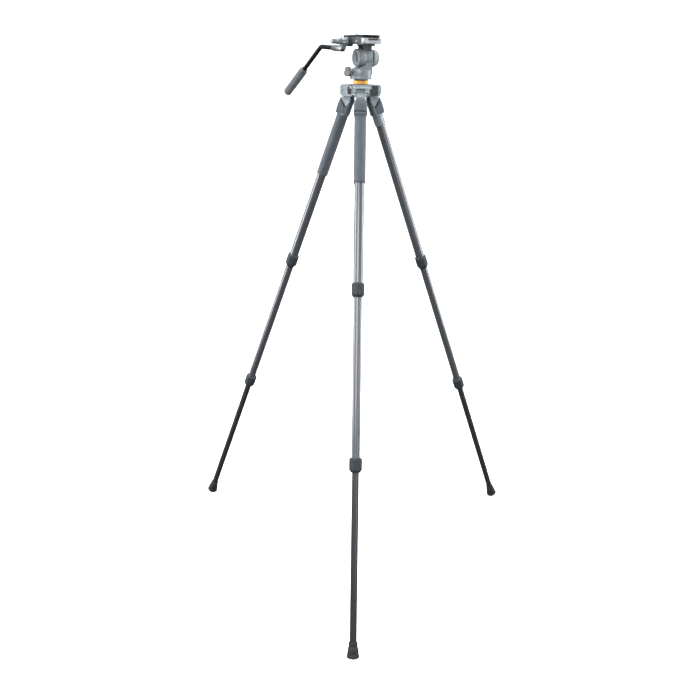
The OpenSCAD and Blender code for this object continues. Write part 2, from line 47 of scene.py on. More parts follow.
# The frame's own dimensions, as the CAD source has them
SPREAD = 21.7
PIVOT_Z = 1420.5
PIVOT_R = 41.5
AXIS_IN = 8.5
HEAD_PAN = 31.3
UPPER_R = 13.0
MIDDLE_R = 11.25
LOWER_R = 9.45
WALL = 1.3
TUBE_TOP = 63.0
LOCK1 = 538.0
LOCK2 = 1010.0
LOCK_R = 17.5
LOCK_HALF = 19.5
TUBE_OVERLAP = 50.0
GRIP_TOP = 60.5
GRIP_END = 246.0
GRIP_R = 16.5
SOCKET_END = 91.0
SOCKET_R = 15.4
FOOT_L = 44.0
DOME_R = 36.0
FOOT_TOP = (PIVOT_Z - AXIS_IN * math.sin(math.radians(SPREAD)) - DOME_R) / math.cos(math.radians(SPREAD)) \
    - FOOT_L + DOME_R
SPIDER_TOP = PIVOT_Z + 21.5
PLATFORM_Z = SPIDER_TOP + 0.5
TILT_Z = SPIDER_TOP + 69.5
BOSS = (-36.0, 20.0, 40.5)
SLEEVE_X = -46.0
SLEEVE_RISE = 3.0
BEND_Y = 141.5
BEND_Z = 21.0 + BEND_Y * math.tan(math.radians(SLEEVE_RISE))
HANDLE_DROP = 31.7
HANDLE_R = 6.25
HANDLE_GRIP_START = 117.0
HANDLE_GRIP_L = 138.0
HANDLE_GRIP_R = 12.5


# ---------------------------------------------------------------- places

def turn(degrees, axis):
    """A rotation about one of the axes."""
    return Matrix.Rotation(math.radians(degrees), 4, axis)


def shift(x, y, z):
    """A move along the three axes."""
    return Matrix.Translation((x, y, z))


def on_leg(k):
    """Leg k's own frame: origin on the leg's axis beside the hinge, +X outward, +Z up the leg."""
    return turn(120 * k - 90, "Z") @ shift(PIVOT_R, 0, PIVOT_Z) @ turn(-SPREAD, "Y") @ shift(-AXIS_IN, 0, 0)


ON_TILT = turn(HEAD_PAN, "Z") @ shift(0, 0, TILT_Z)
ALONG_X = turn(90, "Y")
HANDLE_LINE = ON_TILT @ shift(SLEEVE_X, BEND_Y, BEND_Z) @ turn(-HANDLE_DROP, "X") @ turn(-90, "X")


# ---------------------------------------------------------------- materials

class Look:
    """A procedural material: a Principled shader and short ways to feed it."""

    def __init__(self, name, roughness=0.5, metallic=0.0, coat=0.0, coat_roughness=0.1, specular=0.5):
        self.material = bpy.data.materials.new(name)
        self.material.use_nodes = True
        self.tree = self.material.node_tree
        self.tree.nodes.clear()
        self.shader = self.node("ShaderNodeBsdfPrincipled")
        output = self.node("ShaderNodeOutputMaterial")
        self.link(self.shader.outputs["BSDF"], output.inputs["Surface"])
        self.shader.inputs["Roughness"].default_value = roughness
        self.shader.inputs["Metallic"].default_value = metallic
        self.shader.inputs["Coat Weight"].default_value = coat
        self.shader.inputs["Coat Roughness"].default_value = coat_roughness
        self.shader.inputs["Specular IOR Level"].default_value = specular
        self.normal = None

    def node(self, kind, **settings):
        made = self.tree.nodes.new(kind)
        for key, value in settings.items():
            setattr(made, key, value)
        return made

    def link(self, source, target):
        self.tree.links.new(source, target)

    def place(self, scale=(1, 1, 1), uv=False):
        """Where on the piece: metres in its own frame, or along its surface, times scale."""
        coords = self.node("ShaderNodeTexCoord")
        mapping = self.node("ShaderNodeMapping")
        mapping.inputs["Scale"].default_value = scale
        self.link(coords.outputs["UV" if uv else "Object"], mapping.inputs["Vector"])
        return mapping.outputs["Vector"]

    def noise(self, scale, detail=4, roughness=0.55, stretch=(1, 1, 1), uv=False):
        made = self.node("ShaderNodeTexNoise")
        made.inputs["Scale"].default_value = scale
        made.inputs["Detail"].default_value = detail
        made.inputs["Roughness"].default_value = roughness
        self.link(self.place(stretch, uv), made.inputs["Vector"])
        return made.outputs["Fac"]

    def cells(self, scale, feature="F1", stretch=(1, 1, 1)):
        made = self.node("ShaderNodeTexVoronoi", feature=feature)
        made.inputs["Scale"].default_value = scale
        self.link(self.place(stretch), made.inputs["Vector"])
        return made.outputs["Distance"]

    def math(self, operation, a, b=None):
        made = self.node("ShaderNodeMath", operation=operation)
        for socket, value in zip(made.inputs, (a, b)):
            if value is None:
                continue
            if isinstance(value, (int, float)):
                socket.default_value = value
            else:
                self.link(value, socket)
        return made.outputs[0]

    def ramp(self, fac, *stops):
        """Colours by a value: each stop is (position, grey or (r, g, b))."""
        made = self.node("ShaderNodeValToRGB")
        made.color_ramp.interpolation = "LINEAR"
        elements = made.color_ramp.elements
        while len(elements) < len(stops):
            elements.new(0.5)
        for element, (position, colour) in zip(elements, stops):
            element.position = position
            rgb = (colour,) * 3 if isinstance(colour, (int, float)) else colour
            element.color = (*rgb, 1)
        self.link(fac, made.inputs["Fac"])
        return made.outputs["Color"]

    def mix(self, fac, a, b, blend="MIX"):
        """Two colours, mixed or multiplied by fac."""
        made = self.node("ShaderNodeMix", data_type="RGBA", blend_type=blend)
        colours = [s for s in made.inputs if s.type == "RGBA"]
        for socket, value in ((made.inputs[0], fac), (colours[0], a), (colours[1], b)):
            if isinstance(value, (int, float)):
                socket.default_value = value
            elif isinstance(value, tuple):
                socket.default_value = (*value, 1)
            else:
                self.link(value, socket)
        return [s for s in made.outputs if s.type == "RGBA"][0]

    def bump(self, height, strength, distance):
        made = self.node("ShaderNodeBump")
        made.inputs["Strength"].default_value = strength
        made.inputs["Distance"].default_value = distance
        self.link(height, made.inputs["Height"])
        if self.normal is not None:
            self.link(self.normal, made.inputs["Normal"])
        self.normal = made.outputs["Normal"]
        self.link(self.normal, self.shader.inputs["Normal"])

    def colour(self, source):
        self.link(source, self.shader.inputs["Base Color"])

    def roughness(self, source):
        self.link(source, self.shader.inputs["Roughness"])

    def worn(self, colour, bare, low=0.53, high=0.6):
        """The colour, rubbed through to the bare one on raised edges."""
        geometry = self.node("ShaderNodeNewGeometry")
        edge = self.ramp(geometry.outputs["Pointiness"], (low, 0), (high, 1))
        patch = self.ramp(self.noise(240, 3), (0.5, 0), (0.62, 1))
        return self.mix(self.math("MULTIPLY", edge, self.math("MULTIPLY", patch, 0.55)), colour, bare)


def paint_look(name, dark, light, bare, roughness=0.42, grain=2600.0):
    """Powder coat over a casting: orange-peel grain, slight clouding and rubbed edges."""
    look = Look(name, roughness=roughness, metallic=0.25, coat=0.25, coat_roughness=0.28)
    clouds = look.ramp(look.noise(38, 5), (0.3, dark), (0.7, light))
    specks = look.ramp(look.noise(grain, 2), (0.42, 0.86), (0.6, 1.0))
    look.colour(look.worn(look.mix(1.0, clouds, specks, "MULTIPLY"), bare))
    look.roughness(look.ramp(look.noise(420, 4), (0.3, roughness - 0.06), (0.7, roughness + 0.08)))
    look.bump(look.noise(grain, 2), 0.22, 0.0004)
    look.bump(look.noise(300, 3), 0.06, 0.001)
    return look.material


def metal_look(name, dark, light, roughness=0.3, brushed=(1, 1, 14), metallic=0.9, wear=None):
    """Machined or anodised metal with fine tool lines and a little handling wear."""
    look = Look(name, roughness=roughness, metallic=metallic)
    lines = look.noise(260, 5, 0.6, stretch=brushed)
    base = look.ramp(lines, (0.35, dark), (0.65, light))
    if wear is not None:
        base = look.worn(base, wear)
    look.colour(base)
    look.roughness(look.ramp(look.noise(90, 5), (0.3, max(0.05, roughness - 0.08)), (0.7, roughness + 0.1)))
    look.bump(lines, 0.08, 0.0003)
    return look.material


def rubber_look(name, dark, light, roughness=0.72, grain=1500.0, depth=0.0005):
    """Moulded rubber or plastic: fine spark-eroded texture over a blotchy tone."""
    look = Look(name, roughness=roughness, specular=0.35)
    look.colour(look.ramp(look.noise(60, 6, 0.6), (0.3, dark), (0.72, light)))
    look.roughness(look.ramp(look.noise(500, 4), (0.3, roughness - 0.1), (0.7, roughness + 0.08)))
    look.bump(look.noise(grain, 3), 0.35, depth)
    return look.material


def foam_look(name, dark, light):
    """Closed-cell foam: small open pores in a soft skin."""
    look = Look(name, roughness=0.85, specular=0.25)
    look.shader.inputs["Sheen Weight"].default_value = 0.25
    look.shader.inputs["Sheen Roughness"].default_value = 0.6
    pores = look.cells(900, "F1")
    pits = look.ramp(pores, (0.12, 0.55), (0.4, 1.0))
    clouds = look.ramp(look.noise(45, 6, 0.6), (0.3, dark), (0.7, light))
    look.colour(look.mix(0.7, clouds, pits, "MULTIPLY"))
    look.bump(pores, 0.5, 0.0005)
    look.bump(look.noise(180, 4), 0.15, 0.001)
    return look.material


def carbon_look(name, warp, weft, roughness, coat_roughness):
    """Twill-woven carbon under a clear coat. The surface coordinates are metres round and along the tube."""
    tow_width = 0.002
    tows = 1 / tow_width
    look = Look(name, roughness=roughness, metallic=0.35, coat=1.0, coat_roughness=coat_roughness)
    place = look.place((tows, tows, 1), uv=True)
    split = look.node("ShaderNodeSeparateXYZ")
    look.link(place, split.inputs[0])
    u, v = split.outputs[0], split.outputs[1]
    step = look.math("ADD", look.math("FLOOR", u), look.math("FLOOR", v))
    over = look.math("LESS_THAN", look.math("FLOORED_MODULO", step, 4.0), 2.0)
    across_u = look.math("ABSOLUTE", look.math("SUBTRACT", look.math("FRACT", u), 0.5))
    across_v = look.math("ABSOLUTE", look.math("SUBTRACT", look.math("FRACT", v), 0.5))
    bulge_u = look.math("SUBTRACT", 0.5, look.math("MULTIPLY", across_u, across_u))
    bulge_v = look.math("SUBTRACT", 0.5, look.math("MULTIPLY", across_v, across_v))
    pick = look.node("ShaderNodeMix", data_type="FLOAT")
    look.link(over, pick.inputs[0])
    look.link(bulge_v, pick.inputs[2])
    look.link(bulge_u, pick.inputs[3])
    height = pick.outputs[0]
    fibres = look.noise(1500, 3, 0.6, stretch=(1, 0.06, 1), uv=True)
    shade = look.mix(over, weft, warp)
    look.colour(look.mix(0.5, shade, look.ramp(fibres, (0.3, 0.6), (0.7, 1.0)), "MULTIPLY"))
    look.bump(height, 0.25, 0.0002)
    return look.material


CAST = paint_look("cast_paint", (0.20, 0.235, 0.26), (0.27, 0.305, 0.33), (0.5, 0.52, 0.53), 0.4)
CASTING = paint_look("leg_casting_paint", (0.27, 0.32, 0.345), (0.35, 0.40, 0.43), (0.55, 0.57, 0.58), 0.38)
CAST_DARK = paint_look("cast_paint_dark", (0.030, 0.036, 0.040), (0.048, 0.055, 0.060),
                       (0.18, 0.19, 0.2), 0.45)
SPIDER = paint_look("spider_paint", (0.24, 0.285, 0.31), (0.32, 0.37, 0.40), (0.52, 0.54, 0.55), 0.36)
COVER = paint_look("cover_paint", (0.018, 0.027, 0.032), (0.030, 0.041, 0.047), (0.16, 0.17, 0.18), 0.4)
SILVER = metal_look("satin_silver", (0.27, 0.30, 0.32), (0.39, 0.42, 0.44), 0.32)
BRIGHT = metal_look("bright_silver", (0.44, 0.47, 0.49), (0.54, 0.57, 0.59), 0.34, metallic=0.6)
STEEL = metal_look("steel", (0.42, 0.42, 0.42), (0.62, 0.62, 0.61), 0.25)
DARK_SILVER = metal_look("dark_satin", (0.17, 0.19, 0.20), (0.27, 0.29, 0.30), 0.34, metallic=0.7)
DARK_STEEL = metal_look("black_steel", (0.025, 0.025, 0.028), (0.05, 0.05, 0.054), 0.38,
                        wear=(0.3, 0.3, 0.3))
BLACK = metal_look("black_anodised", (0.014, 0.015, 0.018), (0.028, 0.030, 0.034), 0.42,
                   wear=(0.2, 0.2, 0.21))
DARK_ALLOY = metal_look("dark_anodised", (0.045, 0.052, 0.06), (0.075, 0.084, 0.092), 0.4,
                        wear=(0.3, 0.31, 0.32))
GOLD = metal_look("gold_anodised", (0.62, 0.31, 0.045), (0.74, 0.40, 0.08), 0.42,
                  brushed=(1, 1, 30), metallic=0.5)
CARBON = carbon_look("carbon_upper", (0.150, 0.163, 0.178), (0.092, 0.101, 0.112), 0.34, 0.16)
CARBON_LOW = carbon_look("carbon_lower", (0.056, 0.062, 0.069), (0.032, 0.036, 0.040), 0.40, 0.2)
LOCK = rubber_look("lock_rubber", (0.028, 0.034, 0.041), (0.046, 0.053, 0.061), 0.6)
BOOT = rubber_look("boot_rubber", (0.018, 0.020, 0.023), (0.032, 0.035, 0.038), 0.7)
STOP = rubber_look("stop_plastic", (0.068, 0.084, 0.100), (0.092, 0.110, 0.126), 0.45, 2200, 0.0003)
PLASTIC = rubber_look("dark_plastic", (0.020, 0.022, 0.025), (0.036, 0.039, 0.043), 0.55, 2200, 0.0003)
CAP = rubber_look("cap_plastic", (0.14, 0.16, 0.175), (0.19, 0.215, 0.23), 0.45, 2200, 0.0003)
KNOB = rubber_look("knob_rubber", (0.30, 0.345, 0.345), (0.38, 0.425, 0.42), 0.5, 1800, 0.0003)
SHIM = rubber_look("shim_plastic", (0.60, 0.60, 0.58), (0.72, 0.72, 0.69), 0.4)
PAD = rubber_look("pad_rubber", (0.016, 0.017, 0.019), (0.03, 0.032, 0.035), 0.8, 1200, 0.0006)
LEG_FOAM = foam_look("leg_foam", (0.072, 0.089, 0.106), (0.098, 0.116, 0.134))
HANDLE_FOAM = foam_look("handle_foam", (0.075, 0.090, 0.104), (0.105, 0.122, 0.138))


# ---------------------------------------------------------------- mesh helpers

SHARP_ANGLE = 38
BEVEL_ANGLE = 32
WELD_GAP = 0.02
ON_AXIS = 1e-6


def add_piece(name, verts, faces, uvs, place, material, body, replaces=()):
    """A mesh piece from millimetre points in a local frame, riding on a CAD body."""
    mesh = bpy.data.meshes.new(name)
    mesh.from_pydata([(place @ Vector(v)) * MM for v in verts], [], faces)
    if uvs:
        layer = mesh.uv_layers.new(name="surface")
        for face, corners in zip(mesh.polygons, uvs):
            for loop, uv in zip(face.loop_indices, corners):
                layer.data[loop].uv = (uv[0] * MM, uv[1] * MM)
    mesh.validate()
    mesh.update()
    mesh.materials.append(material)
    piece = bpy.data.objects.new(name, mesh)
    bpy.context.scene.collection.objects.link(piece)
    mesh.polygons.foreach_set("use_smooth", [True] * len(mesh.polygons))
    mesh.set_sharp_from_angle(angle=math.radians(SHARP_ANGLE))
    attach(piece, body)
    if replaces:
        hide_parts(*replaces)
    return piece


def lathe(name, outline, place, material, body, replaces=(), segments=96, relief=None, rings=None):
    """Revolves a closed outline of (r, z) points about Z. relief(angle, r, z) adds to the radius."""
    points = list(outline)
    if rings:
        points = finer(points, rings)
    n = len(points)
    verts, index = [], []
    for r, z in points:
        if r < ON_AXIS:
            index.append([len(verts)] * segments)
            verts.append((0, 0, z))
            continue
        row = []
        for s in range(segments):
            a = TAU * s / segments
            rr = r + (relief(a, r, z) if relief else 0.0)
            row.append(len(verts))
            verts.append((rr * math.cos(a), rr * math.sin(a), z))
        index.append(row)
    along = [0.0]
    for (r0, z0), (r1, z1) in zip(points, points[1:] + points[:1]):
        along.append(along[-1] + math.hypot(r1 - r0, z1 - z0))
    girth = TAU * max(r for r, z in points)
    faces, uvs = [], []
    for i in range(n):
        j = (i + 1) % n
        if points[i][0] < ON_AXIS and points[j][0] < ON_AXIS:
            continue
        for s in range(segments):
            t = (s + 1) % segments
            u0, u1 = girth * s / segments, girth * (s + 1) / segments
            ring = [(index[i][s], (u0, along[i])), (index[i][t], (u1, along[i])),
                    (index[j][t], (u1, along[i + 1])), (index[j][s], (u0, along[i + 1]))]
            corners = []
            for corner in ring:
                if corner[0] not in [c[0] for c in corners]:
                    corners.append(corner)
            faces.append([c[0] for c in corners])
            uvs.append([c[1] for c in corners])
    return add_piece(name, verts, faces, uvs, place, material, body, replaces)


def finer(points, longest):
    """The closed outline with no stretch longer than this."""
    out = []
    for (r0, z0), (r1, z1) in zip(points, points[1:] + points[:1]):
        steps = 1
        if r0 > ON_AXIS or r1 > ON_AXIS:
            steps = max(1, math.ceil(math.hypot(r1 - r0, z1 - z0) / longest))
        for i in range(steps):
            out.append((r0 + (r1 - r0) * i / steps, z0 + (z1 - z0) * i / steps))
    return out


def arc(cx, cz, r, a0, a1, steps=8):
    """Points of an arc, for rounding an outline."""
    return [(cx + r * math.cos(math.radians(a0 + (a1 - a0) * i / steps)),
             cz + r * math.sin(math.radians(a0 + (a1 - a0) * i / steps))) for i in range(steps + 1)]


def sweep(name, path, radius, place, material, body, replaces=(), segments=40):
    """A round bar along a path in the local Y-Z plane, with flat ends."""
    verts, faces, uvs = [], [], []
    along = 0.0
    for i, point in enumerate(path):
        before = path[max(0, i - 1)]
        after = path[min(len(path) - 1, i + 1)]
        direction = Vector((0, after[0] - before[0], after[1] - before[1])).normalized()
        side = Vector((1, 0, 0))
        up = side.cross(direction)
        centre = Vector((0, point[0], point[1]))
        for s in range(segments):
            a = TAU * s / segments
            verts.append(centre + radius * (side * math.cos(a) + up * math.sin(a)))
        if i:
            low, high = (i - 1) * segments, i * segments
            last = along
            along += math.hypot(point[0] - path[i - 1][0], point[1] - path[i - 1][1])
            for s in range(segments):
                t = (s + 1) % segments
                u0, u1 = TAU * radius * s / segments, TAU * radius * (s + 1) / segments
                faces.append([low + s, low + t, high + t, high + s])
                uvs.append([(u0, last), (u1, last), (u1, along), (u0, along)])
    for ring, order in ((0, -1), (len(path) - 1, 1)):
        cap = [ring * segments + s for s in range(segments)][::order]
        faces.append(cap)
        uvs.append([(0, 0)] * segments)
    return add_piece(name, verts, faces, uvs, place, material, body, replaces)


def dress(node, material, bevel=0.5, steps=2):
    """Gives a CAD node its material and soft machined edges."""
    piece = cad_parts[node]
    if not piece.material_slots:
        piece.data.materials.append(material)
    for holder in piece.material_slots:
        holder.material = material
    weld = piece.modifiers.new("weld", "WELD")
    weld.merge_threshold = WELD_GAP * MM
    if bevel:
        soften(piece, bevel, steps)


def soften(piece, bevel, steps=2):
    """Rounded edges wherever two faces meet at a clear angle."""
    edge = piece.modifiers.new("edges", "BEVEL")
    edge.width = bevel * MM
    edge.segments = steps
    edge.limit_method = "ANGLE"
    edge.angle_limit = math.radians(BEVEL_ANGLE)
    edge.harden_normals = True


def plate(name, outline, y0, y1, place, material, body, bevel=0.3):
    """A flat outline in the local X-Z plane, anticlockwise, with thickness from y0 to y1."""
    n = len(outline)
    verts = [(x, y, z) for y in (y0, y1) for x, z in outline]
    faces = [list(range(n)), list(range(2 * n - 1, n - 1, -1))]
    faces += [[i, n + i, n + (i + 1) % n, (i + 1) % n] for i in range(n)]
    piece = add_piece(name, verts, faces, None, place, material, body)
    soften(piece, bevel)
    return piece


def mirrored_shell(name, outline, cuts, skins, solid_from, place, material, body, replaces=(),
                   bevel=0.4):
    """A closed shape, the same on both sides of the local X-Z plane, over a flat outline.

    cuts lists the lines (x, z, slope) that divide the outline into cells; a slope of None is an upright
    line. skins(x, z) gives the half-widths from the middle outwards, and solid_from(x, z) the number of
    the one where the cell's solid begins.
    """
    flat = bmesh.new()
    flat.faces.new([flat.verts.new((x, 0, z)) for x, z in outline])
    for x, z, slope in cuts:
        normal = Vector((1, 0, 0)) if slope is None else Vector((-slope, 0, 1)).normalized()
        everything = flat.verts[:] + flat.edges[:] + flat.faces[:]
        bmesh.ops.bisect_plane(flat, geom=everything, plane_co=(x, 0, z), plane_no=normal)
    flat.verts.index_update()
    widths = [skins(v.co.x, v.co.z) for v in flat.verts]
    top = len(widths[0]) - 1
    verts, index = [], {}
    for v in flat.verts:
        for level, width in enumerate(widths[v.index]):
            for side in (-1, 1):
                if width == 0 and side == 1:
                    index[side, level, v.index] = index[-1, level, v.index]
                    continue
                index[side, level, v.index] = len(verts)
                verts.append((v.co.x, side * width, v.co.z))
    faces = []
    for side in (-1, 1):
        for face in flat.faces:
            corners = [v.index for v in face.verts]
            centre = face.calc_center_median()
            start = solid_from(centre.x, centre.z)
            faces.append([index[side, top, c] for c in corners])
            if widths[corners[0]][start]:
                faces.append([index[side, start, c] for c in reversed(corners)])
        for edge in flat.edges:
            centres = [face.calc_center_median() for face in edge.link_faces]
            starts = sorted(solid_from(c.x, c.z) for c in centres)
            a, b = (v.index for v in edge.verts)
            for level in range(starts[0], starts[1] if len(starts) == 2 else top):
                faces.append([index[side, level, a], index[side, level, b],
                              index[side, level + 1, b], index[side, level + 1, a]])
    flat.free()
    piece = add_piece(name, verts, faces, None, place, material, body, replaces)
    solid = bmesh.new()
    solid.from_mesh(piece.data)
    bmesh.ops.recalc_face_normals(solid, faces=solid.faces)
    solid.to_mesh(piece.data)
    solid.free()
    soften(piece, bevel)
    return piece


# ---------------------------------------------------------------- legs

def leg_tube(name, outer, inner, top, bottom, k, material, body, node):
    """An open tube with a small chamfer on both outer rims."""
    lip = 0.35
    outline = [(inner, -bottom), (outer - lip, -bottom), (outer, -bottom + lip), (outer, -top - lip),
               (outer - lip, -top), (inner, -top)]
    lathe(name, outline, on_leg(k), material, body, (node,), 64)


def lock_relief(angle, r, z):
    """Eight broad scallops, with fine grip ribs between their edges, fading out at both ends."""
    if r < LOCK_R - 3.2:
        return 0.0
    fade = min(1.0, max(0.0, (LOCK_HALF - 2.5 - z) / 2.0), max(0.0, (z + LOCK_HALF - 5.0) / 3.0))
    lobe = 0.5 - 0.5 * math.cos(8 * angle)
    scallop = -1.15 * lobe ** 2.2
    ribs = 0.16 * math.cos(72 * angle) * (1 - lobe) ** 0.5
    return fade * (scallop + ribs)


def twist_lock(name, k, at, r_tube, r_next, body, node):
    """The rubber-covered nut, the alloy collar above it and the wiper ring round the next tube."""
    half, r = LOCK_HALF, LOCK_R
    outline = [
        (r_next + 0.35, -half), (r - 5.6, -half), (r - 4.9, -half + 0.3), (r - 4.4, -half + 0.9),
        (r - 2.4, -half + 3.6), (r - 1.0, -half + 5.6), (r - 0.3, -half + 7.0), (r, -half + 8.4),
        (r, half - 4.6), (r - 0.25, half - 3.4), (r - 0.9, half - 2.4), (r - 1.3, half - 2.0),
        (r - 1.6, half - 1.9), (r - 1.7, half - 1.2), (r - 2.2, half - 0.6), (r - 3.0, half - 0.2),
        (r - 3.4, half), (r_tube + 0.05, half), (r_tube + 0.05, -2.6), (r_next + 0.35, -2.6)
    ]
    place = on_leg(k) @ shift(0, 0, -at)
    lathe(name, outline, place, LOCK, body, (node,), 288, lock_relief, 1.6)
    collar = [(r_tube + 0.06, half - 0.15), (r - 4.0, half - 0.15), (r - 4.0, half + 0.05),
              (r - 4.4, half + 0.35), (r_tube + 0.06, half + 0.35)]
    lathe(name + "_collar", collar, place, DARK_ALLOY, body, (), 96)
    wiper = [(r_next + 0.06, -half - 0.5), (r_next + 1.6, -half - 0.5), (r_next + 2.0, -half - 0.1),
             (r_next + 2.0, -half + 0.2), (r_next + 0.06, -half + 0.2)]
    lathe(name + "_wiper", wiper, place, PLASTIC, body, (), 96)


def boot_relief(angle, r, z):
    """Shallow vertical ribs on the boot's waist."""
    if r < 13.0 or not -FOOT_L + 10 < z < -FOOT_L + 27:
        return 0.0
    middle = 1 - abs(z + FOOT_L - 18.5) / 8.5
    return 0.28 * math.cos(24 * angle) * middle


def rubber_boot(name, k, body, node):
    """Domed boot with a ribbed waist and two grooves below its lip."""
    end = -FOOT_L
    dome_c = end + DOME_R
    dome_edge = 15.2
    rim = dome_c - math.sqrt(DOME_R ** 2 - dome_edge ** 2)
    outline = [(0.0, dome_c - DOME_R)]
    for r in (3.0, 6.0, 9.0, 11.0, 13.0):
        outline.append((r, dome_c - math.sqrt(DOME_R ** 2 - r * r)))
    outline += [
        (dome_edge, rim), (16.4, rim + 1.0), (17.0, rim + 2.6), (17.0, end + 9), (16.6, end + 10.4),
        (15.8, end + 11.4), (15.3, end + 13), (15.2, end + 16), (15.0, end + 20), (14.6, end + 24),
        (14.0, end + 27.5), (13.3, end + 30), (12.6, end + 31.2), (12.2, end + 32.2), (12.2, -9.4),
        (11.7, -9.0), (11.7, -8.0), (12.2, -7.6), (12.2, -5.4), (11.7, -5.0), (11.7, -4.0), (12.2, -3.6),
        (12.2, -1.6), (11.9, -0.6), (11.1, 0.0), (LOWER_R + 0.05, 0.0), (LOWER_R + 0.05, -6.0), (0.0, -6.0)
    ]
    place = on_leg(k) @ shift(0, 0, -FOOT_TOP)
    lathe(name, outline, place, BOOT, body, (node,), 192, boot_relief)


def leg_sleeve(name, k, body, node):
    """Foam sleeve with soft ends, slightly fuller where the hand closes on it."""
    top, end, r = -GRIP_TOP, -GRIP_END, GRIP_R
    outline = [(UPPER_R + 0.05, end)] + arc(r - 2.2, end + 2.2, 2.2, -90, 0, 6)
    steps = 24
    for i in range(1, steps):
        t = i / steps
        z = end + 2.2 + (top - end - 4.0) * t
        outline.append((r - 0.35 + 0.35 * math.sin(math.pi * t), z))
    outline += arc(r - 1.4, top - 1.4, 1.4, 0, 90, 5)
    outline += [(SOCKET_R + 0.02, top), (SOCKET_R + 0.02, -SOCKET_END), (UPPER_R + 0.05, -SOCKET_END)]

    def wave(angle, rr, z):
        if rr < SOCKET_R + 0.1:
            return 0.0
        return 0.10 * math.sin(5 * angle + 0.11 * z) * math.sin(0.07 * z + 2 * angle)

    piece = lathe(name, outline, on_leg(k), LEG_FOAM, body, (node,), 96, wave)


# The casting's rounded body, and the stop on the outside of it
CASTING_R = 20.5
CASTING_HALF = 17.0
STOP_TOP = -17.4
STOP_WIDE_AT = -31.3
ROUND_CUTS = [(x, 0, None) for x in (7.0, 10.5, 13.6, 15.2, 16.6, 17.7)]
# The casting's pocket for the stop: its inner end, and the slanted line where it begins
POCKET_X = -2.6
POCKET_Z, POCKET_SLOPE = -20.2, 1.256
FRONT_X = 13.6


def casting_side(x, extra):
    """Half-width of the casting's rounded body at a distance out from the leg's axis, and a little more."""
    r = CASTING_R + extra
    return min(CASTING_HALF + extra, math.sqrt(max(1.0, r * r - (x - 1.5) ** 2)))


def stop_skins(x, z):
    """Half-widths of the angle stop: middle, rib slot, inside of the cheek, outside, narrowing to its top."""
    taper = 1.0 - 0.28 * max(0.0, (z - STOP_WIDE_AT) / (STOP_TOP - STOP_WIDE_AT))
    outer = casting_side(x, 1.6) * taper
    return [0.0, 5.8, 5.8 + 0.915 * (outer - 5.8), outer]


def stop_solid_from(x, z):
    """Solid right across in front, from the rib slot out inside the pocket, and a cheek elsewhere."""
    if x > FRONT_X:
        return 0
    in_pocket = x > POCKET_X and z < POCKET_Z - POCKET_SLOPE * (FRONT_X - x)
    return 1 if in_pocket else 2


def angle_stop(name, k, body, node):
    """The stop's cover: a rounded front that narrows upwards, and cheeks that reach back past the axis."""
    outline = [(-8.4, -54.6), (-4.0, -57.6), (2.0, -57.8), (18.0, -51.9), (18.8, -50.6), (18.9, -19.4),
               (17.9, -17.6), (15.4, STOP_TOP), (14.2, -18.6), (14.2, -25.0), (-8.4, -39.5)]
    cuts = ROUND_CUTS + [(0, STOP_WIDE_AT, 0), (POCKET_X, 0, None), (FRONT_X, POCKET_Z, POCKET_SLOPE)]
    mirrored_shell(name, outline, cuts, stop_skins, stop_solid_from, on_leg(k), STOP, body,
                   (node,), 0.6)


def painted_gap_shade(name, k, body):
    """Dark strip along the pocket that the stop folds into: painted shade for the shadow in the gap between the
    casting and the stop.
    """
    outline = [(-10.0, -40.1), (13.4, -25.1), (13.4, -18.6), (-10.0, -33.6)]

    def skins(x, z):
        return [casting_side(x, -0.6), casting_side(x, 0.3)]

    mirrored_shell(name, outline, ROUND_CUTS, skins, lambda x, z: 0, on_leg(k), PLASTIC, body,
                   (), 0.15)


def pocket_floor(name, k, body):
    """Lining of the pocket's lower face, which shows between the stop and the grip."""
    outline = [(6.4, -58.55), (18.2, -55.3), (18.3, -55.15), (6.4, -58.4)]
    plate(name, outline, -14.5, 14.5, on_leg(k), STOP, body, 0.05)


def grip_cuff(name, k, body):
    """Foam-coloured cuff over the casting's lower lip, just above the sleeve."""
    face = 18.2
    outline = [(-12.0, -60.45), (19.0, -60.45), (19.0, -55.7), (14.0, -56.8), (3.0, -58.9), (-12.0, -58.9)]

    def skins(x, z):
        return [0.0, casting_side(x, -0.6), casting_side(x, 0.5)]

    mirrored_shell(name, outline, ROUND_CUTS + [(face, 0, None)], skins, lambda x, z: 0 if x > face else 1,
                   on_leg(k), LEG_FOAM, body, (), 0.3)


